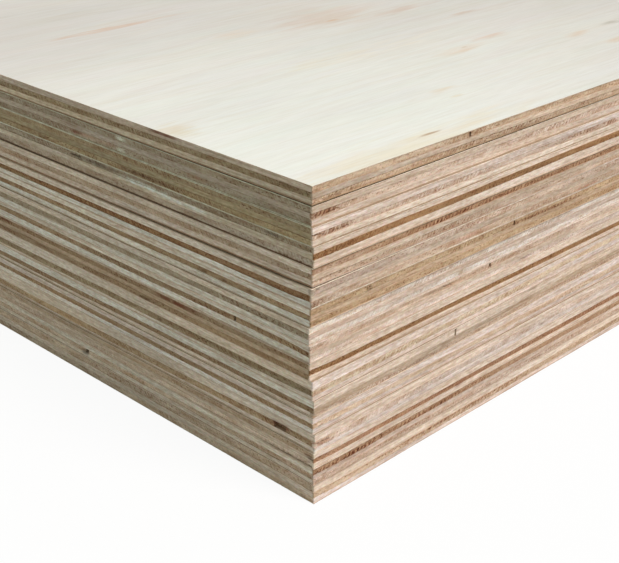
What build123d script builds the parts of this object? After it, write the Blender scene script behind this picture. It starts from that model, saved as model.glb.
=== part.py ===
from build123d import *
import os
from math import cos, radians, sin

# A stack of plywood sheets lying flat and squared up by hand against one corner.
# X runs along the long edges, Y along the short edges and Z up. The origin is the middle
# of the stack's outline, on the floor. The near corner is at low X and low Y.

# One sheet: a face and a back veneer with three thicker core veneers between them
sheet_length = 2440.0
sheet_width = 1220.0
face_veneer = 0.45
core_veneer = 2.7
core_count = 3
corner_break = 0.5

# How far each veneer's edge stands back from the sawn size, from the back up to the face.
# The plies shrink and tear unevenly, so their edges show as small steps.
edge_steps = (
    (0.05, 0.30, 0.00, 0.22, 0.08),
    (0.00, 0.18, 0.34, 0.12, 0.06),
    (0.10, 0.00, 0.26, 0.06, 0.02),
    (0.04, 0.24, 0.10, 0.32, 0.00),
)

# Every sheet from the top of the stack down: its step pattern, how much thicker its core
# veneers are than the nominal ones, how far its near corner is out of line along X and Y,
# its turn in degrees, and the gap that its bow leaves under it
sheets = (
    (0, -0.13, -0.38, 0.68, -0.12, 0.65),
    (1, 0.03, -0.07, 1.07, -0.05, 0.00),
    (2, -0.07, -0.35, 0.25, -0.13, 0.00),
    (3, -0.03, 0.21, -0.11, -0.08, 0.70),
    (0, -0.10, 0.00, 0.41, -0.10, 0.70),
    (2, 0.23, -0.65, 0.30, 0.00, 0.20),
    (1, 0.00, -0.54, 0.74, -0.07, 0.10),
    (3, -0.03, -0.99, 1.09, -0.01, 0.00),
    (0, -0.10, -0.56, 0.86, 0.02, 0.10),
    (2, -0.27, -0.60, 0.95, -0.03, 0.30),
    (3, 0.20, 0.21, -0.16, 0.06, 0.35),
    (1, -0.08, 0.75, -0.60, 0.02, 0.10),
    (0, -0.30, 0.25, -0.45, 0.09, 0.15),
    (3, 0.23, 0.99, -1.09, 0.05, 0.00),
    (1, -0.27, 0.62, -0.97, 0.12, 0.25),
    (2, 0.03, 0.77, -0.67, 0.07, 0.00),
    (0, 0.31, 0.87, -1.02, 0.11, 0.00),
)

# Gaps between the strips of a core veneer, open at an edge: the sheet, the edge, the core
# veneer counted from the back, the distance from the near corner, the width and the depth
core_gaps = (
    (1, "long", 3, 104.0, 1.4, 9.0),
    (7, "long", 3, 145.5, 1.2, 6.0),
    (9, "long", 3, 128.0, 1.6, 7.0),
    (9, "short", 2, 48.5, 1.6, 8.0),
    (12, "long", 3, 100.0, 1.3, 12.0),
    (14, "short", 2, 22.5, 7.5, 2.5),
    (16, "short", 2, 170.5, 2.6, 5.0),
)

# Splits that opened at an edge, low and long: the sheet, the edge, the core veneer, the
# distance from the near corner, the length and the depth
splits = (
    (4, "short", 3, 168.0, 9.0, 1.5),
    (7, "long", 3, 37.5, 3.6, 1.5),
    (9, "long", 3, 95.5, 8.0, 1.5),
    (9, "long", 1, 160.0, 11.0, 2.0),
    (14, "long", 2, 5.5, 10.0, 2.0),
    (15, "short", 2, 2.2, 4.0, 5.0),
)
split_height = 0.9

# Core veneers broken off at the near corner: the sheet, the core veneer and the broken length
corner_chips = (
    (2, 2, 0.9),
    (6, 3, 1.1),
    (12, 1, 1.8),
    (14, 2, 1.2),
)


def ply_heights(core):
    """The thickness of each veneer of a sheet, from the back up to the face."""
    return [face_veneer] + [core] * core_count + [face_veneer]


def ply_bottom(core, ply):
    """How high a veneer starts above the sheet's back, with the back veneer as number 0."""
    return sum(ply_heights(core)[:ply])


def sheet_reach(shift_x, shift_y, turn):
    """The low and high X and Y of a turned sheet whose near corner is at its shift."""
    along, across = cos(radians(turn)), sin(radians(turn))
    us, vs = (0, sheet_length), (0, sheet_width)
    inner_us = (corner_break, sheet_length - corner_break)
    inner_vs = (corner_break, sheet_width - corner_break)
    outline = [(u, v) for u in us for v in inner_vs] + [(u, v) for u in inner_us for v in vs]
    xs = [shift_x + u * along - v * across for u, v in outline]
    ys = [shift_y + u * across + v * along for u, v in outline]
    return min(xs), max(xs), min(ys), max(ys)


def stack_middle():
    """The middle of the whole stack's outline, measured from the unshifted near corner."""
    low_x, high_x, low_y, high_y = zip(*[sheet_reach(*row[2:5]) for row in sheets])
    return (min(low_x) + max(high_x)) / 2, (min(low_y) + max(high_y)) / 2


def edge_plane(base, edge, distance, height):
    """An upright plane on a near edge of a sheet, facing out, at a distance from the corner."""
    if edge == "long":
        origin, out, right = (distance, 0, height), -base.y_dir, base.x_dir
    else:
        origin, out, right = (0, distance, height), -base.x_dir, -base.y_dir
    return Plane(base.from_local_coords(origin), x_dir=right, z_dir=out)


middle_x, middle_y = stack_middle()
sheet_top = sum(sum(ply_heights(core_veneer + row[1])) + row[5] for row in sheets)

os.makedirs("parts", exist_ok=True)

for number, (pattern, extra, shift_x, shift_y, turn, gap_under) in enumerate(sheets, start=1):
    core = core_veneer + extra
    sheet_back = sheet_top - sum(ply_heights(core))
    base = Plane(
        origin=(shift_x - middle_x, shift_y - middle_y, sheet_back),
        x_dir=(cos(radians(turn)), sin(radians(turn)), 0),
        z_dir=(0, 0, 1),
    )

    with BuildPart() as sheet:
        # The veneers, each with its own step back from the sawn edge
        for ply, (height, step) in enumerate(zip(ply_heights(core), edge_steps[pattern])):
            with BuildSketch(base.offset(ply_bottom(core, ply))) as veneer:
                with Locations((sheet_length / 2, sheet_width / 2)):
                    Rectangle(sheet_length - 2 * step, sheet_width - 2 * step)
                chamfer(veneer.vertices(), corner_break)
            extrude(amount=height)

        # Gaps between the strips of a core veneer, the whole ply high
        for _, edge, ply, distance, width, depth in (g for g in core_gaps if g[0] == number):
            middle = ply_bottom(core, ply) + core / 2
            with BuildSketch(edge_plane(base, edge, distance, middle)):
                Rectangle(width, core)
            extrude(amount=-depth, mode=Mode.SUBTRACT)

        # Low splits inside a core veneer
        for _, edge, ply, distance, length, depth in (s for s in splits if s[0] == number):
            middle = ply_bottom(core, ply) + core / 2
            with BuildSketch(edge_plane(base, edge, distance, middle)):
                Ellipse(length / 2, split_height / 2)
            extrude(amount=-depth, mode=Mode.SUBTRACT)

        # Core veneers broken off at the near corner
        for _, ply, broken in (c for c in corner_chips if c[0] == number):
            with BuildSketch(base.offset(ply_bottom(core, ply))):
                with BuildLine():
                    Polyline((0, 0), (2 * broken, 0), (0, 2 * broken), close=True)
                make_face()
            extrude(amount=core, mode=Mode.SUBTRACT)

    sheet.part.label = f"sheet_{number:02d}"
    export_step(sheet.part, f"parts/{sheet.part.label}.step")
    sheet_top = sheet_back - gap_under
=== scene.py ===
import math
from functools import partial
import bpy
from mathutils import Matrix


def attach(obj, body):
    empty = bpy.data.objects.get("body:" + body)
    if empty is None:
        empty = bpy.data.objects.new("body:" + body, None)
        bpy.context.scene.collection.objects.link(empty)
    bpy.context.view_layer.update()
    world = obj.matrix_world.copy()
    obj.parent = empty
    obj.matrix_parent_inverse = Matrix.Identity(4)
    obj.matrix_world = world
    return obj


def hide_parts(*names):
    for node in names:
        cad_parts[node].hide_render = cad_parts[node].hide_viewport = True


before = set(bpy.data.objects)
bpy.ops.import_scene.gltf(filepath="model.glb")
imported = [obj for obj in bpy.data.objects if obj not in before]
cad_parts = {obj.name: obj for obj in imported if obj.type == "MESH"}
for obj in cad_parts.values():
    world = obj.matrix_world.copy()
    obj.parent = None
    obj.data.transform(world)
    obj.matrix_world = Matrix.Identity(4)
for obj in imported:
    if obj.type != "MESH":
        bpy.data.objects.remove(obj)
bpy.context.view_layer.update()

from types import SimpleNamespace

import bpy
import numpy as np
from mathutils import Matrix

print("frame loaded:", len(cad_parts), "sheets")

mm = 0.001


def linearColour(text):
    # sRGB hex to linear colour, channel by channel with the sRGB curve, and an alpha of 1
    c = np.array([int(text[i:i + 2], 16) for i in (0, 2, 4)]) / 255
    return np.append(np.where(c <= 0.04045, c / 12.92, ((c + 0.055) / 1.055) ** 2.4), 1.0)


cameraView = {
    "azimuth": -45.679,       # degrees; 0 looks along +Y
    "elevation": 25.036,
    "roll": 0.545,
    "lens": 73.895,           # mm
    "sensor": 36,
    "clip": (0.02, 60),       # m
    "fromCorner": (-348.22, -337.86, 339.57),   # mm from the pile's near corner at floor level
    "nearCorner": (-1220.24, -609.43),          # mm, that corner's place in the frame
}


def makeCamera(look):
    # back points from the pile to the camera: (sin a cos e, -cos a cos e, sin e); right and up
    # are the level direction and the upright one, turned about back by the roll
    a, e, r = (math.radians(look[k]) for k in ("azimuth", "elevation", "roll"))
    back = np.array([math.sin(a) * math.cos(e), -math.cos(a) * math.cos(e), math.sin(e)])
    level = np.array([math.cos(a), math.sin(a), 0])
    upright = np.cross(back, level)
    right = math.cos(r) * level + math.sin(r) * upright
    up = -math.sin(r) * level + math.cos(r) * upright
    x, y, z = look["fromCorner"]
    place = np.array([look["nearCorner"][0] + x, look["nearCorner"][1] + y, z]) * mm
    camera = bpy.data.objects.new("camera", bpy.data.cameras.new("camera"))
    camera.data.lens, camera.data.sensor_width = look["lens"], look["sensor"]
    camera.data.clip_start, camera.data.clip_end = look["clip"]
    turned = np.eye(4)
    turned[:3, 0], turned[:3, 1], turned[:3, 2], turned[:3, 3] = right, up, back, place
    camera.matrix_world = Matrix(turned.tolist())
    bpy.context.scene.collection.objects.link(camera)
    bpy.context.scene.camera = camera


makeCamera(cameraView)
print("camera placed")

# veneers as they look when sawn, and what stains them; some dark tones also serve as painted shade
# in gaps and splits
veneerTones = {
    "whiteCream": "E6D3C2", "cream": "E3CDBB", "pinkWhite": "DEC9BE", "paleStraw": "DCC5B4",
    "lilacWhite": "D6C2B7", "straw": "D3BAA6", "sand": "C9B19D", "pinkTan": "C8B1A2",
    "khaki": "BFA288", "tan": "C0A791", "roseTan": "C5AE9F", "greyTan": "C1AA99", "olive": "AC9779",
    "oliveBrown": "A28E74", "golden": "BDA184", "brown": "A68B70", "warmBrown": "A98970",
    "darkGolden": "987453", "redBrown": "A27D64", "darkRed": "74422C", "umber": "6B4F39",
    "soot": "50473D", "putty": "DEDDCE", "rose": "BC8F7A", "mossWhite": "CEC5AF",
    "coolWhite": "DACDC5", "coolCream": "E6D8CB", "freshWhite": "F2E2D7", "mossStraw": "D5BFA8",
    "greyBrown": "A89784", "ashTan": "B5A292", "torn": "B58F72", "chalk": "F0F2EE",
}


def addNode(tree, kind, inputs=(), **settings):
    # one node of that kind, with its settings; its inputs are a row in the sockets' order or a
    # dictionary, and each is a value, a socket or a node
    node = tree.nodes.new("ShaderNode" + kind)
    for name, value in settings.items():
        setattr(node, name, value)
    for name, value in inputs.items() if isinstance(inputs, dict) else enumerate(inputs):
        if isinstance(value, bpy.types.Node):
            value = value.outputs[0]
        if isinstance(value, bpy.types.NodeSocket):
            tree.links.new(value, node.inputs[name])
        else:
            node.inputs[name].default_value = value
    return node


def startMaterial(name):
    # an empty material, and addNode bound to its tree
    material = bpy.data.materials.new(name)
    material.use_nodes = True
    tree = material.node_tree
    tree.nodes.clear()
    return material, partial(addNode, tree)


def growGrain(add, place, grain):
    # a wood's patterns: soft cells of x by y by z mm, turned about Z before they are stretched
    cells = {}
    for name, (size, turn, *noise) in grain.items():
        at = add("Mapping", {
            "Vector": place, "Rotation": (0, 0, math.radians(turn)),
            "Scale": tuple(side * mm for side in size)}, vector_type="TEXTURE")
        noise = dict(zip(("Detail", "Roughness", "Distortion"), noise))
        cells[name] = add("TexNoise", {"Vector": at, "Scale": 1.0, **noise})
    return cells


def darkenWood(add, colour, cells, shades):
    # dark parts, one over the other: as its pattern goes from low to high, the share goes from
    # least to most, times the sheet's figure where that counts, and by that share the colour is
    # multiplied by the shade, so that dark parts turn brown, not grey. The shares join the cells.
    for name, low, high, least, most, shade, figured in shades:
        share = add("MapRange", (cells[name], low, high, least, cells.get(most, most)))
        if figured:
            share = add("Math", (share, cells["figure"]), operation="MULTIPLY")
        colour = add("Mix", {0: share, 6: colour, 7: linearColour(shade)},
                     data_type="RGBA", blend_type="MULTIPLY").outputs[2]
        cells[name + "Share"] = share
    return colour


def varyHue(add, colour, cells, amount):
    # colour times 1 + amount (n - 1/2), with a noise n of its own in each channel
    tint = add("VectorMath", (cells["hue"].outputs["Color"], (amount,) * 3,
                              (1 - amount / 2,) * 3), operation="MULTIPLY_ADD")
    return add("VectorMath", (colour, tint), operation="MULTIPLY")


def finishWood(add, colour, cells, look, height):
    # roughness follows its pattern from one end to the other, and the height, 0 to 1, lifts the
    # surface by up to depth mm
    pattern, *ends = look["rough"]
    bump = add("Bump", {"Height": height, "Distance": look["depth"] * mm, "Strength": 1.0})
    shader = add("BsdfPrincipled", {
        "Base Color": colour, "Roughness": add("MapRange", (cells[pattern], *ends)),
        "Normal": bump, "IOR": 1.45, "Specular IOR Level": 0.25})
    add("OutputMaterial", {"Surface": shader})


# In every look, grain lists patterns as (mm along x, y and z; degrees of turn; the noise's
# detail, roughness and distortion), shades lists dark parts as (pattern, its low and high value,
# the shade's share at each, the shade, whether it follows the sheet's figure), and ranges are
# (from low, from high, to, to).
alongLook = {
    "grain": {
        # fine fibres, drawn five times as coarse; resin streaks; pores cut lengthwise
        "fibre": ((26, 26, 1.0), 0, 3.0, 0.6, 0.3),
        "streak": ((42, 42, 1.5), 0, 2.0, 0.5, 0.6),
        "dot": ((3.2, 3.2, 0.8), 0, 1.0),
        "short": ((4, 4, 1), 0, 2.0, 0.6),
        "hue": ((2.0, 2.0, 1.0), 0, 3.0, 0.6),
    },
    "shades": (
        ("streak", 0.55, 0.78, 0.0, 0.9, "C8AC94", True),
        ("dot", 0.64, 0.76, 0.0, 0.7, "A98A70", True),
        ("fibre", 0.32, 0.68, 1.0, 0.0, "E2DBD4", False),
        ("short", 0.35, 0.65, 1.0, 0.0, "E2DBD4", False),
    ),
    "hueShare": 0.3,              # wood is nowhere one even colour
    "lift": (1.3, 1.425, 1.6),    # how much lighter the wood between its dark parts is
    "rough": ("fibre", 0.3, 0.7, 0.84, 0.7),
    "depth": 0.09,                # mm
}


def sawnAlongGrain(look):
    # rotary-cut core veneer sawn along its grain: smooth and pale, with long soft fibres
    material, add = startMaterial("rotaryVeneerSawnAlong")
    tone = add("Attribute", attribute_name="plyTone")
    cells = growGrain(add, add("TexCoord").outputs["Object"], look["grain"])
    cells["figure"] = tone.outputs["Alpha"]
    colour = darkenWood(add, tone, cells, look["shades"])
    colour = varyHue(add, colour, cells, look["hueShare"])
    colour = add("VectorMath", (colour, look["lift"]), operation="MULTIPLY")
    finishWood(add, colour, cells, look, cells["fibre"])
    return material


acrossLook = {
    "grain": {
        # open pores, 0.1 mm in real wood and drawn ten times as coarse; lathe checks, the small
        # cracks that peeling leaves, leaning over the edge; patches; looser peeled stretches
        "pore": ((1.5, 1.0, 1), 0, 1.0, 0.5),
        "check": ((5.0, 0.8, 1), 53, 1.0),
        "patch": ((13, 2.6, 1), 0, 3.0, 0.6),
        "loose": ((70, 9, 1), 0, 1.0),
        "hue": ((2.0, 1.0, 1), 0, 3.0, 0.6),
    },
    "shades": (
        ("patch", 0.42, 0.7, 0.0, 1.0, "E2D2C4", False),
        ("check", 0.44, 0.59, 0.0, "opened", "C0A088", True),
        ("tooth", 0.35, 0.8, 0.0, "marked", "8E5A40", False),
        ("pore", 0.56, 0.68, 0.0, 1.0, "A98A70", True),
    ),
    "tooth": 2.5,                 # mm from one torn check to the next
    "toothLean": 28,              # degrees that the torn ones lean over
    "toothWaver": {"Distortion": 2.2, "Detail": 1.0, "Detail Scale": 2.5},
    "marked": (0.8, 1.0, 0.0, 1.0),     # a figure above 0.8 is a place that the saw tore open
    "opened": (0.38, 0.6, 0.3, 1.0),    # how far a looser veneer's checks stand open
    "pale": (0.25, 0.5, 1.14, 1.0),     # the lightest patches, times the colour
    "hueShare": 0.3,
    "lift": (1.17, 1.22, 1.28),
    "rough": ("pore", 0.4, 0.7, 0.76, 0.92),
    "depth": 0.13,
}


def sawnAcrossGrain(look):
    # rotary-cut core veneer sawn across its grain: dark open pores, and slanted teeth where the
    # saw tore the lathe checks wide open. Both near edges share one flat map: x + y along, z up.
    material, add = startMaterial("rotaryVeneerSawnAcross")
    place = add("TexCoord").outputs["Object"]
    tone = add("Attribute", attribute_name="plyTone")
    along = add("VectorMath", (place, (1, 1, 0)), operation="DOT_PRODUCT")
    upward = add("SeparateXYZ", (place,)).outputs[2]
    flat = add("CombineXYZ", (along.outputs["Value"], upward))
    cells = growGrain(add, flat, look["grain"])
    cells["figure"] = tone.outputs["Alpha"]
    cells["marked"] = add("MapRange", (cells["figure"], *look["marked"]))
    opened = add("MapRange", (cells["loose"], *look["opened"]))
    cells["opened"] = add("Math", (opened, cells["marked"]), operation="MAXIMUM")
    # a sine band has a period of 2 pi / 20 of its coordinate
    scale = look["tooth"] * 20 / (2 * math.pi) * mm
    at = add("Mapping", {
        "Vector": flat, "Rotation": (0, 0, math.radians(-look["toothLean"])),
        "Scale": (scale,) * 3}, vector_type="TEXTURE")
    bands = add("TexWave", {"Vector": at, "Scale": 1.0, **look["toothWaver"]})
    cells["tooth"] = bands.outputs["Fac"]
    colour = darkenWood(add, tone, cells, look["shades"])
    light = add("MapRange", (cells["patch"], *look["pale"]))
    colour = add("VectorMath", (colour, light), operation="MULTIPLY")
    colour = varyHue(add, colour, cells, look["hueShare"])
    colour = add("VectorMath", (colour, look["lift"]), operation="MULTIPLY")
    torn = add("Math", (cells["checkShare"], cells["poreShare"]), operation="MAXIMUM")
    sound = add("MapRange", (torn, 0.0, 1.0, 1.0, 0.0))
    finishWood(add, colour, cells, look, sound)
    return material


glueLook = {
    "grain": {"spot": ((16, 16, 3), 0, 3.0)},
    "shades": (("spot", 0.4, 0.62, 0.1, 0.8, "C2AA96", False),),
    "rough": ("spot", 0.3, 0.7, 0.6, 0.8),
    "depth": 0.05,
}


def curedGlueLine(look):
    # urea resin between the veneers: a thin darker line, patchy where it soaked in
    material, add = startMaterial("ureaResinGlueLine")
    tone = add("Attribute", attribute_name="plyTone")
    cells = growGrain(add, add("TexCoord").outputs["Object"], look["grain"])
    colour = darkenWood(add, tone, cells, look["shades"])
    finishWood(add, colour, cells, look, cells["spot"])
    return material


backLook = {
    "grain": {"fibre": ((60, 3, 50), 0, 3.0)},
    "dark": "9C8672",
    "light": "B8A28C",
    "rough": ("fibre", 0.3, 0.7, 0.8, 0.9),
    "depth": 0.1,
}


def roughBackVeneer(look):
    # the face that each sheet hides: brown low-grade veneer, unsanded; its brown is partly painted
    # shade, so that a gap between sheets looks dark
    material, add = startMaterial("unsandedBackVeneer")
    cells = growGrain(add, add("TexCoord").outputs["Object"], look["grain"])
    colour = add("Mix", {0: cells["fibre"], 6: linearColour(look["dark"]),
                         7: linearColour(look["light"])}, data_type="RGBA").outputs[2]
    finishWood(add, colour, cells, look, cells["fibre"])
    return material


faceLook = {
    "wood": "DAD5D5",        # sanded poplar; the paler near corner is painted light, laid on by the first patch below
    "grain": {
        "streak": ((90, 5, 50), 0, 5.0, 0.66, 0.8),
        "line": ((20, 1.2, 50), 0, 3.0, 0.6),
        "broad": ((420, 130, 50), 0, 3.0),
        "rim": ((30, 5, 50), 0, 3.0),
        "hue": ((60, 14, 50), 0, 3.0, 0.6),
    },
    "shades": (
        ("streak", 0.44, 0.8, 0.0, 0.5, "F3E9DE", False),
        ("broad", 0.45, 0.72, 0.0, 0.7, "F1F2F2", False),
    ),
    "lines": (0.35, 0.7, 1.02, 0.955),    # fine lines, times the colour
    "hueShare": 0.06,
    "rough": ("streak", 0.3, 0.7, 0.62, 0.74),
    "depth": 0.04,
    "rimStray": (2.4, 2.8),  # how far a stain's rim wanders, in its half length and half width
    "rimCalm": 14,           # mm of half width past which it wanders less
    "rimFade": (0.1, 1.3),   # where a stain starts to fade and where it ends, in half sizes
    # stains, the first of them a broad pale patch of painted light round the near corner:
    # mm along the long edge and along the short edge from the near corner,
    # half length, half width, colour, strength
    "stainsAndPaintedLight": (
        # painted light: a broad pale patch that brightens the face round the near corner
        (0, 0, 345, 262, "EFEFEF", 1.0),
        (60, 2, 90, 15, "EBDBC0", 0.5), (108, 269, 48, 3.6, "D6AE96", 0.5),
        (215, 200, 46, 22, "D6C0B4", 0.6), (214, 192.5, 7, 1.4, "CFA07A", 0.5),
        (148, 209, 22, 8, "E2D0C2", 0.5), (265, 183, 26, 6, "D0B4A6", 0.5),
        (290, 150, 15, 2.6, "CCAE9C", 0.5), (252, 102, 17, 5, "DABBAC", 0.6),
        (213, 94, 22, 6, "E0C8B8", 0.6), (220, 97, 3, 1, "C8A890", 0.45),
        (294, 70, 13, 4, "DCC2B0", 0.5), (333, 71, 10, 3.2, "A8A29A", 0.5),
        (298, 46, 10, 4, "DDC4B2", 0.5), (143, 40, 5, 1.6, "E2CAAC", 0.4),
        (145, 51, 10, 3, "E2D0BA", 0.5), (89, 10.7, 9, 1.2, "A87C52", 0.75),
        (6, 94, 13, 9, "DEC9A6", 0.5), (170, 130, 60, 9, "EADFD2", 0.5),
        (980, 560, 60, 16, "CFB49A", 0.45), (1530, 300, 80, 12, "CBAE93", 0.45),
        (2050, 820, 50, 18, "CDB49C", 0.45), (700, 980, 90, 14, "CFB49A", 0.4),
    ),
}


def sandedFaceVeneer(look, corner):
    # rotary-cut face veneer, sanded: almost white, with faint streaks along the sheet and a
    # few soft stains, each an ellipse whose rim a noise pushes about; the first and largest
    # patch is painted light round the near corner
    material, add = startMaterial("sandedPoplarFaceVeneer")
    place = add("TexCoord").outputs["Object"]
    cells = growGrain(add, place, look["grain"])
    colour = linearColour(look["wood"])
    for along, across, halfLength, halfWidth, patchColour, strength in look["stainsAndPaintedLight"]:
        centre = (corner[0] + along * mm, corner[1] + across * mm, 0)
        offset = add("VectorMath", (place, centre), operation="SUBTRACT")
        stray = [reach * min(1, look["rimCalm"] / halfWidth) for reach in look["rimStray"]]
        wander = add("VectorMath", (
            cells["rim"].outputs["Color"], (stray[0], stray[1], 0),
            (-stray[0] / 2, -stray[1] / 2, 0)), operation="MULTIPLY_ADD")
        scaled = add("VectorMath", (
            offset, (1 / (halfLength * mm), 1 / (halfWidth * mm), 0), wander),
            operation="MULTIPLY_ADD")
        away = add("VectorMath", (scaled,), operation="LENGTH").outputs["Value"]
        share = add("MapRange", (away, *look["rimFade"], strength, 0.0),
                    interpolation_type="SMOOTHSTEP")
        colour = add("Mix", {0: share, 6: colour, 7: linearColour(patchColour)},
                     data_type="RGBA").outputs[2]
    colour = darkenWood(add, colour, cells, look["shades"])
    shade = add("MapRange", (cells["line"], *look["lines"]))
    colour = add("VectorMath", (colour, shade), operation="MULTIPLY")
    colour = varyHue(add, colour, cells, look["hueShare"])
    finishWood(add, colour, cells, look, cells["line"])
    return material


nearCorner = tuple(x * mm for x in cameraView["nearCorner"])
materials = (sandedFaceVeneer(faceLook, nearCorner), sawnAlongGrain(alongLook),
             sawnAcrossGrain(acrossLook), curedGlueLine(glueLook), roughBackVeneer(backLook))
faceSlot, alongSlot, acrossSlot, glueSlot, backSlot = range(5)
print("materials made")

pile = {
    "faceVeneer": 0.45,      # mm, as every length here
    "cornerRadius": 0.38,
    "cornerSpread": 0.2,     # how much that differs from veneer to veneer
    "cornerBlend": 6,        # edge over which the columns make room for that
    "brokenRound": 0.35,     # how much rounder than its break a broken corner is
    "arris": 0.05,           # the outer veneers' worn edge
    "glueHalf": 0.07,        # half the height of a glue line
    "fineReach": 262.0,      # both near edges have close columns that far
    "fineStep": 1.0,
    "coarseStep": 16.0,
    "growth": 1.10,
    "firstPlaces": (1.4, 2.1, 3),     # from the near corner; close columns start at the last
    "farPlaces": (2, 6, 14, 28),      # from a far corner; coarse columns start at the last
    "lastPlaces": (14, 9, 4, 1.4),    # before the next corner; all others end at the first
    "bowHeld": (-620, 700),           # how far either way the last knot of a bow is held
    "bowGone": (-1300, 2500),         # where it has eased to nothing
    "plyWander": 0.24,       # how far a core's boundary strays, up and down
    "veneerWander": 0.08,
    "waviness": 0.09,        # how unevenly a sawn edge runs
    "tearing": (0.28, 0.07),          # deepest torn grain, where sawn across and along
    "raggedCorner": (1.5, 14),        # how much more is torn at a corner, and how far from it
    "calmReach": 1.2,        # beside a corner, where relief dies out
    "splitPinch": 0.33,      # how much nearer a split's two lips are
    "tintShare": (0.9, 1.0, 1.1),     # how a row's streak works on red, green and blue
    "coolShare": 1.5,        # what a warm stretch takes from blue, for 1 given to red
    "figure": 0.75,          # how strongly the grain shows, before its patches
    "figureByDepth": (0.3, 0.85),     # its share on a pale veneer, and what a dark one adds
    "paleTone": 0.75,        # the linear tone that counts as quite pale
    "figureEnds": (0.1, 0.8),
    "tornFigure": (0.05, 0.8, 0.2),   # a torn mark's least strength, its figure, and what it adds
    "markEdge": 0.8,         # how full a mark is, before its ragged edge
    # uneven lines along the edges, each a sum of (size, mm from knot to knot, seed)
    "boundaryWaves": ((0.6, 47, 0), (0.25, 13, 20), (0.15, 4, 30)),
    "swayWaves": ((0.10, 58, 40), (0.06, 15, 50)),
    "warmthWaves": ((0.02, 75, 60),),
    "streakWaves": ((0.07, 31, 300), (0.04, 7, 330)),
    "figureWaves": ((0.35, 29, 400),),
    "sawWaves": ((0.6, 70, 70), (0.4, 19, 75)),
    "markWaves": ((0.35, 3.1, 0),),
    # how far each veneer stands back, from the back up
    "steps": ((0.05, 0.30, 0.00, 0.22, 0.08), (0.00, 0.18, 0.34, 0.12, 0.06),
              (0.10, 0.00, 0.26, 0.06, 0.02), (0.04, 0.24, 0.10, 0.32, 0.00)),
}
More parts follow.
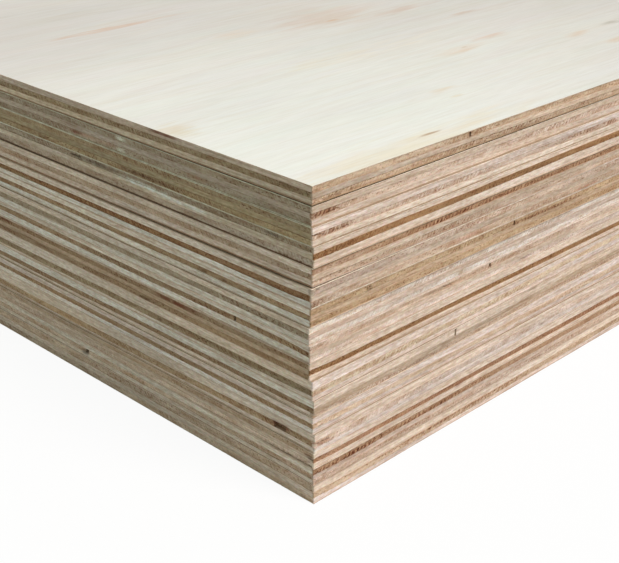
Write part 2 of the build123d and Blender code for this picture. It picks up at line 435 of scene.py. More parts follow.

# Each sheet: its row of steps; the tone of its thin outer veneers on the right (long) and left
# (short) near edge, and under where the back one differs, where a darker back veneer is partly
# painted shade that widens the dark line of the gap below it; its cores from the top down on each,
# with a + on one sawn across its grain; and the marks on each as (mm from the corner, mm down
# from the top, length, height, tone, strength), of which the torn ones also open the grain, and
# a dark one that lies in a gap or split is painted shade there.
# gaps: edge, core from the back, place, width, depth. splits: edge, core from the back, place,
# length, depth. broken: core from the back, mm off the corner. back: how far bow moves the back,
# as (mm right of the near corner or minus left of it, mm up). core: the same for the middle
# core, which thins one beside it. settle: the same for the back and the face it lies on.
# inset: how far the edge stands back.
sheets = (
    # the brown and warm brown back veneer is partly painted shade along the gap beneath
    {"node": "sheet_01", "steps": 0, "thin": ("sand", "straw"), "under": ("brown", "warmBrown"),
     "back": ((-230, -0.5), (-110, -0.25), (-50, 0), (110, 0), (215, -0.1), (400, -0.3)),
     "right": "tan+ sand tan+", "left": "sand oliveBrown+ mossStraw",
     "gaps": (("right", 3, 104, 1.4, 9),),
     "marks": {"right": ((3, 5, 8, 7, "redBrown", 0.55), (160, 1.5, 130, 2.4, "tan", 0.5),
         (22, 7.2, 30, 1.6, "brown", 0.6)),
         "left": ((96, 0.8, 22, 1.3, "darkRed", 0.9), (17, 3.8, 24, 1.8, "umber", 0.45))}},
    {"node": "sheet_02", "steps": 1, "thin": ("cream", "mossWhite"), "under": ("tan", "mossWhite"),
     "right": "sand pinkTan+ paleStraw",
     "left": "greyBrown+ ashTan greyBrown+", "broken": ((2, 0.9),),
     "marks": {"right": ((150, 4.6, 150, 3, "lilacWhite", 0.8), (7, 4.3, 15, 2.4, "torn", 0.9),
         (5, 4.6, 12, 2.4, "redBrown", 0.45), (160.5, 8.6, 6, 1.4, "khaki", 0.6)),
         "left": ((150, 6.8, 36, 2, "rose", 0.45), (163.5, 6.8, 9, 2, "darkRed", 0.75),
         (238, 6.8, 8, 2, "darkRed", 0.65), (73, 6.7, 14, 2, "redBrown", 0.5),
         (128, 1.5, 7, 2.4, "putty", 0.8), (128, 7.2, 7, 2.2, "putty", 0.5))}},
    {"node": "sheet_03", "steps": 2, "thin": ("paleStraw", "mossWhite"),
     "under": ("tan", "mossWhite"),
     "right": "pinkWhite pinkTan+ cream", "left": "oliveBrown+ olive olive+",
     "marks": {"right": ((199, 4.3, 22, 2.4, "torn", 0.5), (224, 4.3, 10, 2.4, "torn", 0.6),
         (12, 4.3, 24, 2.4, "torn", 0.5), (110, 4.3, 90, 2.6, "lilacWhite", 0.7)),
         "left": ((196, 7.0, 18, 1.8, "umber", 0.65), (108, 7.0, 44, 1.9, "umber", 0.85))}},
    {"node": "sheet_04", "steps": 3, "thin": ("paleStraw", "mossWhite"),
     # the umber back veneer on the left is partly painted shade along the gap beneath
     "under": ("straw", "umber"),
     "back": ((-400, 0), (-215, -0.1), (-110, -0.35), (-16, -0.58), (20, -0.66), (400, -0.66)),
     "core": ((-16, 0), (0, 0.3), (110, 0.5), (215, 1)),
     "settle": ((-215, -0.8), (-110, -0.5), (0, -0.2), (110, -0.3), (215, -0.6)),
     "right": "paleStraw darkGolden+ paleStraw", "left": "greyBrown+ mossStraw ashTan+",
     "splits": (("left", 3, 168, 9, 1.5),),
     "marks": {"left": ((149, 1.7, 38, 1.6, "soot", 0.55), (25, 1.5, 14, 1.4, "soot", 0.6),
         (56, 1.0, 8, 1.0, "umber", 0.6), (114, 3.1, 36, 1.8, "chalk", 0.85),
         (84, 4.2, 36, 1.7, "chalk", 0.7), (185, 3.9, 24, 1.6, "pinkWhite", 0.5))}},
    # the rose tan and red-brown back veneer is partly painted shade along the gap beneath
    {"node": "sheet_05", "steps": 0, "thin": ("cream", "straw"), "under": ("roseTan", "redBrown"),
     "back": ((-215, -0.67), (-150, -0.5), (-110, -0.3), (-30, -0.05), (0, -0.2), (30, -0.5),
         (90, -0.66), (400, -0.66)),
     "settle": ((-215, -1), (-110, -0.8), (-16, -0.5), (0, -0.1), (400, 0)),
     "right": "warmBrown+ sand greyTan+", "left": "cream tan+ paleStraw",
     "marks": {"right": ((14, 2.2, 46, 2, "roseTan", 0.5), (94, 2.2, 38, 2.2, "torn", 1.0),
         (136, 2.2, 52, 2, "torn", 0.7), (200, 2.2, 90, 2.4, "torn", 0.45)),
         "left": ((216, 5.2, 42, 2.5, "redBrown", 0.5),)}},
    {"node": "sheet_06", "steps": 2, "thin": ("whiteCream", "straw"),
     "core": ((-16, -0.4), (0, 0)),
     "right": "roseTan+ sand greyTan+",
     "left": "cream darkGolden+ coolCream", "broken": ((3, 1.1),),
     "marks": {"right": ((108, 7.6, 32, 1.6, "rose", 0.7), (119, 8.6, 26, 1.1, "redBrown", 0.85),
         (208, 8.5, 24, 1.3, "rose", 0.85)),
         "left": ((220, 6.3, 40, 1.8, "olive", 0.5), (40, 5.1, 76, 2.6, "warmBrown", 0.5))}},
    {"node": "sheet_07", "steps": 1, "thin": ("straw", "straw"),
     "back": ((-400, -0.05), (400, -0.05)),
     "settle": ((-215, 0.7), (-110, 0.2), (0, 0)),
     "right": "golden+ khaki golden+", "left": "whiteCream brown+ coolCream",
     "gaps": (("right", 3, 145.5, 1.2, 6),), "splits": (("right", 3, 37.5, 3.6, 1.5),),
     # the umber mark at 37.5 mm lies in the split there: painted shade
     "marks": {"right": ((37.5, 2.6, 4, 1.9, "umber", 0.7), (172, 2.6, 60, 2, "torn", 0.6),
         (176, 2.8, 40, 2, "darkGolden", 0.4), (36, 7.8, 30, 0.9, "darkGolden", 0.75)),
         "left": ((133, 1.4, 14, 0.9, "rose", 0.65), (113, 1.7, 16, 1, "rose", 0.7),
         (94, 1.2, 11, 0.9, "rose", 0.65), (118, 5.1, 10, 1.4, "umber", 0.5),
         (47, 4.8, 26, 1.8, "umber", 0.4), (71, 4.8, 6, 1.8, "umber", 0.85),
         (55.6, 4.8, 3, 1.6, "umber", 0.6), (38.4, 4.8, 5, 1.6, "umber", 0.6),
         (180, 7, 24, 1.2, "whiteCream", 0.8))}},
    {"node": "sheet_08", "steps": 3, "thin": ("pinkWhite", "paleStraw"),
     "right": "coolWhite+ pinkTan coolWhite+", "left": "cream greyBrown+ coolCream",
     "marks": {"right": ((105, 7.0, 3.4, 2.2, "brown", 0.7), (20, 4.6, 40, 2.4, "rose", 0.35))}},
    {"node": "sheet_09", "steps": 0, "thin": ("paleStraw", "straw"),
     "core": ((-215, 0.9), (-110, 0.5), (-16, 0.6), (0, 0)),
     "right": "pinkTan+ straw lilacWhite+", "left": "whiteCream brown+ coolCream",
     "gaps": (("right", 3, 128, 1.6, 7), ("left", 2, 48.5, 1.6, 8)),
     "splits": (("right", 3, 95.5, 8, 1.5), ("right", 1, 160, 11, 2)),
     # the umber mark at 156 mm lies in the split at 160 mm: painted shade
     "marks": {"right": ((68, 1.4, 68, 1.2, "brown", 0.5), (89, 1.4, 18, 1.3, "umber", 0.65),
         (156, 6.5, 13, 1.6, "umber", 0.55))}},
    {"node": "sheet_10", "steps": 2, "thin": ("cream", "straw"),
     "back": ((-400, -0.26), (400, -0.26)),
     "core": ((0, 0), (16, -0.6), (400, -0.6)),
     "right": "paleStraw darkGolden+ paleStraw", "left": "brown+ khaki brown+",
     "marks": {"left": ((89, 1.7, 32, 2, "darkRed", 0.95), (237, 1.3, 9, 1.6, "darkRed", 0.7),
         (112, 7.0, 16, 1.8, "umber", 0.85), (200, 6.0, 13, 1.2, "umber", 0.6))}},
    {"node": "sheet_11", "steps": 3, "thin": ("pinkWhite", "straw"),
     "back": ((-400, -0.25), (400, -0.25)),
     "core": ((-215, -2), (-110, -1.7), (-16, -1.2), (110, -1.1), (215, 0.4)),
     "settle": ((-16, -0.4), (0, 0), (110, 0.6), (215, 1.5)),
     "right": "pinkWhite mossStraw+ pinkWhite", "left": "cream oliveBrown+ cream",
     "marks": {"right": ((4, 6.6, 10, 2, "rose", 0.6),),
         "left": ((81, 7.1, 22, 2, "golden", 0.5), (105.5, 6.9, 3, 1.6, "umber", 0.7))}},
    {"node": "sheet_12", "steps": 1, "thin": ("cream", "cream"),
     "back": ((-400, -0.08), (400, -0.08)),
     "inset": ((60, 0), (160, 0.35), (260, 0.5)),
     "core": ((-215, -1.5), (-110, -0.8), (-16, -0.9), (16, -0.7), (110, -1), (215, -0.6)),
     "settle": ((110, 0), (215, 1.2)),
     "right": "paleStraw tan greyTan+", "left": "coolCream brown+ paleStraw",
     "gaps": (("right", 3, 100, 1.3, 12),), "broken": ((1, 1.8),),
     "marks": {"right": ((19, 7.2, 32, 1.5, "soot", 0.32), (47, 7.3, 22, 2, "lilacWhite", 0.6),
         (72, 7.2, 44, 1.5, "soot", 0.34), (164, 0.4, 9, 0.8, "umber", 0.6),
         (215, 0.4, 12, 0.8, "redBrown", 0.6))}},
    {"node": "sheet_13", "steps": 0, "thin": ("pinkWhite", "cream"),
     "back": ((-400, -0.12), (400, -0.12)),
     "core": ((0, 0), (16, -0.4), (110, -0.7), (215, -0.8)),
     "right": "pinkWhite sand+ lilacWhite", "left": "pinkWhite brown+ freshWhite",
     "marks": {"right": ((76, 4.5, 36, 1.7, "brown", 0.55), (92, 6.2, 9, 1.1, "brown", 0.65),
         (148.5, 1.5, 15, 1.2, "tan", 0.7), (155, 7.2, 7, 1.6, "tan", 0.7))}},
    {"node": "sheet_14", "steps": 3, "thin": ("cream", "straw"),
     "core": ((-215, -2.2), (-110, -2), (-16, -0.6), (16, -0.7), (110, -0.3), (215, 0)),
     "settle": ((-215, -1.2), (-110, -0.3), (-16, 0), (0, -0.3), (16, -0.9), (110, -0.7),
         (215, 0.3)),
     "right": "paleStraw lilacWhite+ lilacWhite", "left": "cream golden+ paleStraw",
     "gaps": (("left", 2, 22.5, 7.5, 2.5),), "splits": (("right", 2, 5.5, 10, 2),),
     "broken": ((2, 1.2),),
     "marks": {"right": ((7, 6.2, 12, 1.6, "redBrown", 0.8), (174.4, 6.9, 4, 1.4, "umber", 0.6)),
         # the dark red mark at 22.3 mm fills the gap there: its wood's colour, partly painted shade
         "left": ((22.3, 4.9, 12, 2.8, "darkRed", 0.9),)}},
    {"node": "sheet_15", "steps": 1, "thin": ("cream", "straw"),
     "core": ((16, 0), (110, -0.3), (215, -1)),
     "settle": ((-16, 0), (0, -0.2), (16, -0.7), (110, -0.9), (215, -1.2)),
     "right": "paleStraw redBrown+ paleStraw",
     "left": "tan+ straw paleStraw+", "splits": (("left", 2, 2.2, 4, 5),),
     "marks": {"right": ((106, 5.6, 7, 2, "darkRed", 0.75), (72, 5.4, 24, 2, "redBrown", 0.4)),
         # the umber mark at 3.5 mm lies in the split by the corner: painted shade
         "left": ((3.5, 3, 4.5, 2.2, "umber", 0.8), (19, 7.7, 34, 0.7, "soot", 0.5))}},
    # the warm brown back veneer on the left is partly painted shade along the gap beneath
    {"node": "sheet_16", "steps": 2, "thin": ("straw", "straw"), "under": ("straw", "warmBrown"),
     "core": ((-16, -0.3), (16, -0.3), (215, -0.5)),
     "settle": ((-110, 0.7), (-16, 0.7), (0, 0.2), (16, -0.3)),
     "right": "warmBrown+ pinkTan roseTan+", "left": "whiteCream straw+ cream",
     "gaps": (("left", 2, 170.5, 2.6, 5),),
     "marks": {"right": ((30, 2.6, 24, 2.2, "darkRed", 0.35), (28, 2.6, 30, 2.2, "torn", 1.0),
         (8, 2.6, 18, 2, "torn", 0.6), (84, 2.6, 50, 2, "torn", 0.8),
         (93.3, 2.8, 7, 2, "darkRed", 0.5)),
         # the soot mark at 172 mm lies in the gap at 170.5 mm: painted shade
         "left": ((172, 6.2, 6, 3.2, "soot", 0.7),)}},
    {"node": "sheet_17", "steps": 0, "thin": ("pinkTan", "paleStraw"),
     "core": ((-16, -0.3), (0, -0.3), (16, -0.8), (400, -0.7)),
     "right": "cream tan+ pinkWhite", "left": "straw+ paleStraw straw+",
     "marks": {"right": ((90, 4.4, 130, 2.4, "torn", 0.5),),
         "left": ((176, 7.9, 9, 1.5, "brown", 0.8), (28, 1.8, 9, 1.6, "brown", 0.8))}},
)

# rows of a sheet's edge from the bottom up: which veneer, and where between its two faces
rowPly = np.array([0, 0, 0] + [1] * 5 + [2] * 5 + [3] * 5 + [4, 4, 4])
rowShare = np.array([0, 0.25, 1] + [0, 0.25, 0.5, 0.75, 1] * 3 + [0, 0.75, 1])
rowCount = len(rowPly)
# the outline's edges, numbered anticlockwise from the near corner, and a corner's five columns
nearEdges = {"right": 0, "left": 3}
cornerTurns = np.linspace(0, 90, 5)


def drift(places, waves, seed):
    # smooth random lines added up: random heights every few mm, joined by half cosines
    total = 0
    for size, spacing, own in waves:
        knots = np.random.default_rng(seed + own).uniform(-1, 1, int(places.max() / spacing) + 3)
        at = places / spacing
        low = np.floor(at).astype(int)
        share = (1 - np.cos((at - low) * math.pi)) / 2
        total = total + size * (knots[low] * (1 - share) + knots[low + 1] * share)
    return total


def sheetPlan(node):
    # the sheet's middle, its direction, its half sizes and its heights, from its CAD solid:
    # the direction is the long axis of the spread of its corners
    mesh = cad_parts[node].data
    points = np.empty(len(mesh.vertices) * 3)
    mesh.vertices.foreach_get("co", points)
    points = points.reshape(-1, 3)
    low, high = points[:, 2].min(), points[:, 2].max()
    ring = np.unique(np.round(points[points[:, 2] > high - 1e-6][:, :2], 7), axis=0)
    middle = (ring.max(0) + ring.min(0)) / 2
    spread = (ring - middle).T @ (ring - middle)
    along = np.linalg.eigh(spread)[1][:, -1]
    along = along * np.sign(along[0])
    across = np.array([-along[1], along[0]])
    flat = points[:, :2] - middle
    return middle, along, across, np.abs(flat @ along).max(), np.abs(flat @ across).max(), low, high


def edgePlaces(length, fineStart, fineEnd, extra):
    # places along one edge in mm: close near the near corner, wider and wider away from it
    first, far, last = (np.array(pile[k + "Places"]) for k in ("first", "far", "last"))
    step = pile["fineStep"] * pile["growth"] ** np.arange(200)
    tail = pile["fineReach"] + np.cumsum(np.minimum(step, pile["coarseStep"]))
    close = np.arange(first[-1], pile["fineReach"] + 0.5, pile["fineStep"])
    reach = np.concatenate([first[:-1], close, tail])
    if not (fineStart or fineEnd):
        reach = np.concatenate([far[:-1], np.arange(far[-1], length, pile["coarseStep"])])
    reach = np.concatenate([reach[reach < length - last[0]], length - last[1:]])
    if fineEnd:
        reach = length - reach
        extra = length - extra
    places = np.unique(np.round(np.concatenate([reach, extra]), 3))
    return places[(places > 1) & (places < length - 1)]


def layColumns(look, length, width):
    # The columns' places in mm, edge by edge: five round the corner that the edge starts at, by
    # their turn in degrees, then the straight ones, with more beside each gap and split.
    walls = {edge: [] for edge in range(4)}
    for edge, ply, place, wide, depth in look.get("gaps", ()):
        walls[nearEdges[edge]] += [place + side * wide / 2 + thin
                                   for side in (-1, 1) for thin in (-0.03, 0.03)]
    for edge, ply, place, wide, depth in look.get("splits", ()):
        walls[nearEdges[edge]] += list(place + wide / 2 * np.linspace(-0.98, 0.98, 9))
    sizes = np.array([length, width, length, width])
    places, edges, turns = [], [], []
    for edge in range(4):
        straight = edgePlaces(sizes[edge], edge == 0, edge == 3, np.array(walls[edge], float))
        places += [0 * cornerTurns, straight]
        turns += [cornerTurns, np.full(len(straight), -1.0)]
        edges += [np.full(len(cornerTurns) + len(straight), edge)]
    places, turns, edges = (np.concatenate(part) for part in (places, turns, edges))
    starts = np.array([0, length, length + width, 2 * length + width])
    # distance from the near corner along its two edges, minus to the left; the others are far
    signed = np.where(edges == 0, places, np.where(edges == 3, places - width, 9999.0))
    return SimpleNamespace(
        places=places, turns=turns, edges=edges, count=len(places), isCorner=turns >= 0,
        around=starts[edges] + places, lengths=sizes[edges], signed=signed,
        fromCorner=np.abs(signed), onLeft=(edges == 1) | (edges == 3),
        inner=np.minimum(places, sizes[edges] - places))     # from the nearest corner


def eased(places, knots):
    # a line through the knots, level at each of them
    x, y = np.array(knots, float).T
    at = np.clip(np.searchsorted(x, places) - 1, 0, len(x) - 2)
    share = np.clip((places - x[at]) / (x[at + 1] - x[at]), 0, 1)
    share = (1 - np.cos(share * math.pi)) / 2
    return y[at] * (1 - share) + y[at + 1] * share


def bowed(columns, look, name):
    # the sheet's own knots, held a while past their ends and then eased to nothing
    knots = list(look.get(name, ((0, 0),)))
    (left, right), (leftEnd, rightEnd) = pile["bowHeld"], pile["bowGone"]
    return eased(columns.signed, [(leftEnd, 0), (left, knots[0][1])] + knots
                 + [(right, knots[-1][1]), (rightEnd, 0)])


def paintVeneers(look, columns, seed):
    # Each veneer's own tone, drifting along the edge and from row to row, which rows are sawn
    # across their grain, and the figure: how strongly the grain shows, more on a dark veneer.
    tone = np.zeros((columns.count, rowCount, 3))
    crossing = np.zeros((columns.count, rowCount), bool)
    figure = np.zeros((columns.count, rowCount))
    for s, name in enumerate(("right", "left")):
        # the back veneer takes its under tone, on some sheets a darker one that is partly painted
        # shade along the gap beneath
        face, back = (look.get(outer, look["thin"])[s] for outer in ("thin", "under"))
        for ply, veneer in enumerate([back] + look[name].split()[::-1] + [face]):
            here = (columns.onLeft == bool(s))[:, None] & (rowPly == ply)[None, :]
            tone[here] = linearColour(veneerTones[veneer.rstrip("+")])[:3]
            crossing[here] = veneer.endswith("+")
    for ply in range(5):
        sway = 1 + drift(columns.around, pile["swayWaves"], seed + ply)
        warm = drift(columns.around, pile["warmthWaves"], seed + ply)
        tint = np.stack([sway * (1 + warm), sway, sway * (1 - pile["coolShare"] * warm)], -1)
        tone[:, rowPly == ply] *= tint[:, None, :]
        patches = pile["figure"] + drift(columns.around, pile["figureWaves"], seed + ply)
        figure[:, rowPly == ply] = patches[:, None]
    for row in range(rowCount):
        streak = drift(columns.around, pile["streakWaves"], seed + row)
        tone[:, row] *= 1 + streak[:, None] * np.array(pile["tintShare"])
    onPale, more = pile["figureByDepth"]
    depth = 1 - tone.mean(-1) / pile["paleTone"]
    return tone, crossing, np.clip(figure * (onPale + more * depth), *pile["figureEnds"])


def paintMarks(look, columns, tone, figure, crossing, down, seed):
    # each mark is a soft box, exp(-x^4) along the edge and up it, mixed in by its strength; down
    # is how many mm each point lies below the sheet's face
    least, base, more = pile["tornFigure"]
    marks = [(edge, *mark) for edge in nearEdges for mark in look["marks"].get(edge, ())]
    for edge, place, below, wide, tall, name, strength in marks:
        span = np.exp(-np.abs((columns.fromCorner - place) / (wide / 2)) ** 4)
        span = np.where(columns.edges == nearEdges[edge], span, 0)
        ragged = pile["markEdge"] + drift(columns.around, pile["markWaves"], seed + int(place))
        rows = np.exp(-((down - below) / (tall / 2)) ** 4)
        mixed = np.clip(strength * span * ragged, 0, 1)[:, None] * rows
        patchColour = linearColour(veneerTones[name])[:3]
        tone = tone * (1 - mixed[..., None]) + patchColour * mixed[..., None]
        if name == "torn":
            figure = np.where(crossing & (mixed > least), np.maximum(figure, base + more * mixed),
                              figure)
    return tone, figure


def cutRelief(look, columns, crossing, seed):
    # How many mm each point lies inside its veneer's edge: waves of the saw cut, torn grain, and
    # the depth of each gap and split, a half ellipse along the edge. And where each row lies
    # between its veneer's two faces, nearer to the middle beside a split.
    calm = np.clip(columns.inner / pile["calmReach"], 0, 1)
    relief = np.zeros((columns.count, rowCount))
    for ply in range(5):
        wave = drift(columns.around, pile["sawWaves"], seed + ply)
        relief[:, rowPly == ply] += (pile["waviness"] * (wave + 1) * calm)[:, None]
    relief += (bowed(columns, look, "inset") * calm)[:, None]
    torn = np.random.default_rng(seed + 90).uniform(0, 1, relief.shape) ** 3
    more, fade = pile["raggedCorner"]
    ragged = calm * (1 + more * np.exp(-columns.inner / fade))
    relief += np.where(crossing, *pile["tearing"]) * torn * ragged[:, None]

    share = np.tile(rowShare, (columns.count, 1))
    for edge, ply, place, wide, depth in look.get("gaps", ()):
        here = (columns.edges == nearEdges[edge]) & (np.abs(columns.fromCorner - place) < wide / 2)
        relief[np.ix_(here, rowPly == ply)] = depth
    for edge, ply, place, wide, depth in look.get("splits", ()):
        span = np.clip(1 - ((columns.fromCorner - place) / (wide / 2)) ** 2, 0, 1) ** 0.5
        span = np.where((columns.edges == nearEdges[edge]) & ~columns.isCorner, span, 0)
        relief[:, (rowPly == ply) & (rowShare == 0.5)] += (depth * span)[:, None]
        lips = np.abs(rowShare[rowPly == ply] - 0.5) < 0.3
        share[:, rowPly == ply] = 0.5 + (share[:, rowPly == ply] - 0.5) * (
            1 - pile["splitPinch"] * (span > 0)[:, None] * lips)
    return relief, share


def raiseRows(look, above, columns, share, thick, seed):
    # Heights in mm of all rows above the sheet's back, first level and then bowed. A row lies
    # between its veneer's two faces, which stray, less half a glue line at each. Bow moves the
    # back and the face, and a row between them in proportion; the face follows the sheet above.
    veneer = pile["faceVeneer"]
    core = (thick - 2 * veneer) / 3
    faces = np.tile([0, veneer, veneer + core, veneer + 2 * core, veneer + 3 * core, thick],
                    (columns.count, 1))
    for k, size in enumerate(("veneerWander", "plyWander", "plyWander", "veneerWander"), 1):
        faces[:, k] += pile[size] * drift(columns.around, pile["boundaryWaves"], seed + k)
    faces[:, 2:4] += bowed(columns, look, "core")[:, None]
    lower, upper = faces[:, rowPly], faces[:, rowPly + 1]
    bottomMargin = np.where(rowPly == 0, 0, pile["glueHalf"])
    topMargin = np.where(rowPly == 4, 0, pile["glueHalf"])
    rise = (lower + bottomMargin) + share * (upper - lower - bottomMargin - topMargin)
    backBow = bowed(columns, look, "back") + bowed(columns, look, "settle")
    faceBow = bowed(columns, above, "settle")
    return rise, rise + backBow[:, None] * (1 - rise / thick) + faceBow[:, None] * rise / thick


def traceOutline(look, columns, relief, length, width, seed):
    # Each row's outline in mm from the near corner: a rectangle set in by the veneer's step, with
    # corners of radius r. A corner's point is its centre + (r - relief) (cos a, sin a). A straight
    # one runs along the edge, as deep as its relief, and moves over for the corners beside it.
    rim = np.zeros(rowCount)
    rim[[0, -1]] = pile["arris"]
    inset = np.array(pile["steps"][look["steps"]])[rowPly] + rim
    base, blend = pile["cornerRadius"], pile["cornerBlend"]
    uneven = np.random.default_rng(seed + 95).uniform(-1, 1, (4, 5))[:, rowPly]
    radius = base + pile["cornerSpread"] * uneven
    for ply, off in look.get("broken", ()):
        radius[0, rowPly == ply] = off + pile["brokenRound"]
    edges, places = columns.edges, columns.places[:, None]
    edgeLength = columns.lengths[:, None]
    nextRadius = radius[(edges + 1) % 4]
    thisRadius = radius[edges]
    at = places + (thisRadius - base) * np.clip(1 - (places - base) / blend, 0, 1)
    at = at - (nextRadius - base) * np.clip(1 - (edgeLength - places - base) / blend, 0, 1)
    at = inset + at * (edgeLength - 2 * inset) / edgeLength
    angle = np.radians(180 + 90 * edges + columns.turns)[:, None]
    starting = np.array([[0, 0], [1, 0], [1, 1], [0, 1]])[edges]
    cornerU = np.where(starting[:, :1] == 0, inset + thisRadius, length - inset - thisRadius)
    cornerV = np.where(starting[:, 1:] == 0, inset + thisRadius, width - inset - thisRadius)
    curl = np.clip(relief, 0, 0.5 * thisRadius)
    arcU = cornerU + (thisRadius - curl) * np.cos(angle)
    arcV = cornerV + (thisRadius - curl) * np.sin(angle)
    deep = inset + relief
    lineU = np.choose(edges[:, None], [at, length - deep, length - at, deep])
    lineV = np.choose(edges[:, None], [deep, at, width - deep, width - at])
    isCorner = columns.isCorner[:, None]
    return np.where(isCorner, arcU, lineU), np.where(isCorner, arcV, lineV)


bakeMap = {
    "size": 1024,            # pixels of the square map
    "gap": 4,
    "nearTall": 44,          # the two strips beside the near corner
    "farTall": 26,
    "farStrips": 6,
    "spare": 20,             # mm by which a strip is longer than its part of the outline
    "topCap": (0.99, 0.495),          # shares of the map
    "bottomCap": (0.4, 0.2),
    "capsFrom": (0.005, 0.005, 0.515),     # from the left, and up from the strips to each cap
}


def layOutBake(columns, total, height, cap):
    # The map that an export bakes through. The outline is cut into strips, the two beside the
    # near corner drawn finest, and the strips lie under each other below the two caps.
    size, gap, near, far = bakeMap["size"], bakeMap["gap"], pile["fineReach"], bakeMap["farStrips"]
    cuts = np.concatenate([[0.0], np.linspace(near, total - near, far + 1)])
    ends = np.append(cuts[1:], total)
    tall = np.array([bakeMap["nearTall"]] + [bakeMap["farTall"]] * far + [bakeMap["nearTall"]])
    base = gap + np.concatenate([[0], np.cumsum(tall + gap)[:-1]])
    start, end = columns.around, np.append(columns.around[1:], total)
    strip = np.clip(np.searchsorted(cuts, start, side="right") - 1, 0, len(cuts) - 1)
    wide = ends[strip] - cuts[strip] + bakeMap["spare"]
    left, right = ((gap + (x - cuts[strip]) / wide * (size - 2 * gap)) / size
                   for x in (start, end))
    v = (base[strip][:, None] + height[None, :] * tall[strip][:, None]) / size
    quads = np.empty((columns.count, len(height) - 1, 4, 2))
    quads[:, :, [0, 3], 0] = left[:, None, None]
    quads[:, :, [1, 2], 0] = right[:, None, None]
    quads[:, :, [0, 1], 1] = v[:, :-1, None]
    quads[:, :, [2, 3], 1] = v[:, 1:, None]
    capBase = (base[-1] + tall[-1] + gap) / size
    x, topRise, bottomRise = bakeMap["capsFrom"]
    top = cap * bakeMap["topCap"] + [x, capBase + topRise]
    bottom = cap[::-1] * bakeMap["bottomCap"] + [x, capBase + bottomRise]
    return np.concatenate([quads.reshape(-1, 2), bottom, top])


def skinSheet(name, points, crossing, isTop):
    # one closed mesh: a band of quads from column to column and row to row, and two flat caps
    columnCount = len(points)
    columns, rows = np.arange(columnCount), np.arange(rowCount - 1)
    here = columns[:, None] * rowCount + rows
    onward = ((columns + 1) % columnCount)[:, None] * rowCount + rows
    quads = np.stack([here, onward, onward + 1, here + 1], -1)
    slots = np.where(crossing[:, :-1], acrossSlot, alongSlot)
    slots[:, rowPly[:-1] != rowPly[1:]] = glueSlot
    slots[:, [0, rowCount - 2]] = alongSlot
    bottom = (columns * rowCount)[::-1]
    top = columns * rowCount + rowCount - 1
    mesh = bpy.data.meshes.new(name)
    mesh.from_pydata(points.reshape(-1, 3).tolist(), [],
                     quads.reshape(-1, 4).tolist() + [bottom.tolist(), top.tolist()])
    caps = [backSlot, faceSlot if isTop else backSlot]
    slotList = np.concatenate([slots.ravel(), caps]).astype(np.int32)
    mesh.polygons.foreach_set("material_index", slotList)
    mesh.polygons.foreach_set("use_smooth", np.arange(len(slotList)) < len(slotList) - 2)
    for material in materials:
        mesh.materials.append(material)
    return mesh


def makeSheet(index, look):
    # Columns go round the outline and rows go up through the five veneers. A point is the
    # outline's, moved in by the veneer's step, its waviness and any gap, split or torn grain.
    middle, along, across, halfLength, halfWidth, low, high = sheetPlan(look["node"])
    length, width, thick = 2 * halfLength / mm, 2 * halfWidth / mm, (high - low) / mm
    seed = 100 * (index + 1)
    above = sheets[index - 1] if index else {}
    columns = layColumns(look, length, width)
    tone, crossing, figure = paintVeneers(look, columns, seed)
    relief, share = cutRelief(look, columns, crossing, seed)
    rise, height = raiseRows(look, above, columns, share, thick, seed)
    tone, figure = paintMarks(look, columns, tone, figure, crossing, thick - rise, seed)
    u, v = traceOutline(look, columns, relief, length, width, seed)
    u, v = u - length / 2, v - width / 2
    points = np.empty((columns.count, rowCount, 3))
    points[..., 0] = middle[0] + (u * along[0] + v * across[0]) * mm
    points[..., 1] = middle[1] + (u * along[1] + v * across[1]) * mm
    points[..., 2] = low + height * mm

    mesh = skinSheet(look["node"].replace("_", "") + "Dressed", points, crossing, index == 0)
    paint = mesh.attributes.new("plyTone", "FLOAT_COLOR", "POINT")
    colours = np.concatenate([np.clip(tone, 0, 1), figure[..., None]], -1)
    paint.data.foreach_set("color", colours.astype(np.float32).ravel())
    cap = np.stack([(u[:, -1] + length / 2) / length, (v[:, -1] + width / 2) / width], -1)
    corners = layOutBake(columns, 2 * (length + width), (rise / thick).mean(0), cap)
    layer = mesh.uv_layers.new(name="OFBake")
    layer.data.foreach_set("uv", corners.astype(np.float32).ravel())
    mesh.update()
    mesh.set_sharp_from_angle(angle=math.radians(32))
    piece = bpy.data.objects.new(mesh.name, mesh)
    bpy.context.scene.collection.objects.link(piece)
    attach(piece, "root")
    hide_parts(look["node"])
    return piece


for index, look in enumerate(sheets):
    made = makeSheet(index, look)
print("sheets made:", len(sheets), "with", len(made.data.polygons), "faces on the last one")

studio = {
    "floorSize": 24.0,           # m
    "floorPaint": "F4F4F4",      # matt white paint
    "floorColour": "BDBDBA",     # what the floor gives back to the pile
    "shadowShare": 0.07,         # how much of the white floor is lit rather than plain white
    "skyColour": "E3F2E2",
    "keyColour": "FFF6EF",
    "skyStrength": 0.47,
    "keyStrength": 2.65,         # W per square metre
    "keyAngle": 24,              # degrees; how soft its shadows are
    "keyFrom": (0.16, -0.62, 0.76),
}
white = (1, 1, 1, 1)


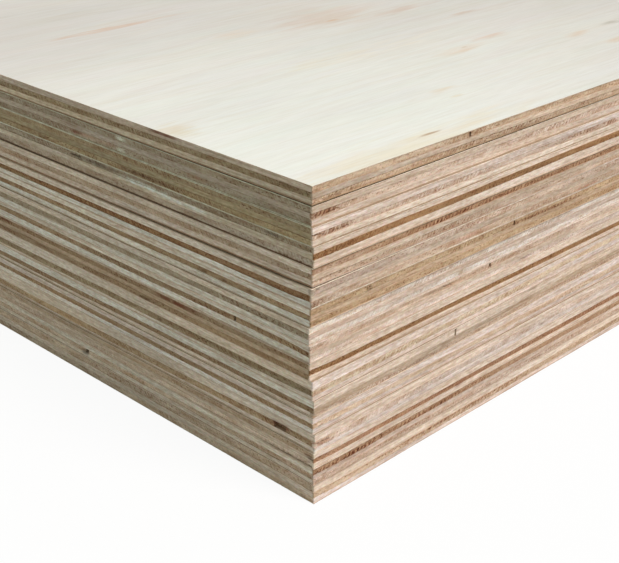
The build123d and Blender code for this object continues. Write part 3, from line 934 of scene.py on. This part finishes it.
def seenDirectly(add):
    # 1 for rays that should see the plain white background: from the camera, gloss or glass
    rays = add("LightPath").outputs
    seen = add("Math", (rays["Is Camera Ray"], rays["Is Glossy Ray"]), operation="MAXIMUM")
    return add("Math", (seen, rays["Is Transmission Ray"]), operation="MAXIMUM")


def makeStudio(look):
    # a square floor, an even sky, and one soft lamp that shines from keyFrom to the pile
    half = look["floorSize"] / 2
    mesh = bpy.data.meshes.new("studioFloor")
    mesh.from_pydata([(-half, -half, 0), (half, -half, 0), (half, half, 0), (-half, half, 0)], [],
                     [(0, 1, 2, 3)])
    material, add = startMaterial("paintedStudioFloor")
    plain = add("Emission", {"Color": white, "Strength": 1.0})
    lit = add("BsdfDiffuse", {"Color": linearColour(look["floorPaint"])})
    dim = add("BsdfDiffuse", {"Color": linearColour(look["floorColour"])})
    shown = add("MixShader", (look["shadowShare"], plain, lit))
    both = add("MixShader", (seenDirectly(add), dim, shown))
    add("OutputMaterial", {"Surface": both})
    mesh.materials.append(material)
    floor = bpy.data.objects.new("studioFloor", mesh)
    bpy.context.scene.collection.objects.link(floor)

    world = bpy.data.worlds.new("studioWorld")
    bpy.context.scene.world = world
    world.use_nodes = True
    world.node_tree.nodes.clear()
    add = partial(addNode, world.node_tree)
    sky = add("Background", {"Color": linearColour(look["skyColour"]),
                             "Strength": look["skyStrength"]})
    shown = add("Background", {"Color": white, "Strength": 1.0})
    both = add("MixShader", (seenDirectly(add), sky, shown))
    add("OutputWorld", {"Surface": both})

    key = bpy.data.objects.new("softKey", bpy.data.lights.new("softKey", "SUN"))
    key.data.energy, key.data.angle = look["keyStrength"], math.radians(look["keyAngle"])
    key.data.color = linearColour(look["keyColour"])[:3]
    aim = np.array(look["keyFrom"]) / np.linalg.norm(look["keyFrom"])
    sideways = np.cross([0, 0, 1], aim)
    sideways = sideways / np.linalg.norm(sideways)
    turned = np.eye(4)
    turned[:3, 0], turned[:3, 1], turned[:3, 2] = sideways, np.cross(aim, sideways), aim
    key.matrix_world = Matrix(turned.tolist())
    bpy.context.scene.collection.objects.link(key)


makeStudio(studio)
bpy.context.scene.view_settings.view_transform = "Standard"
print("floor and light made")
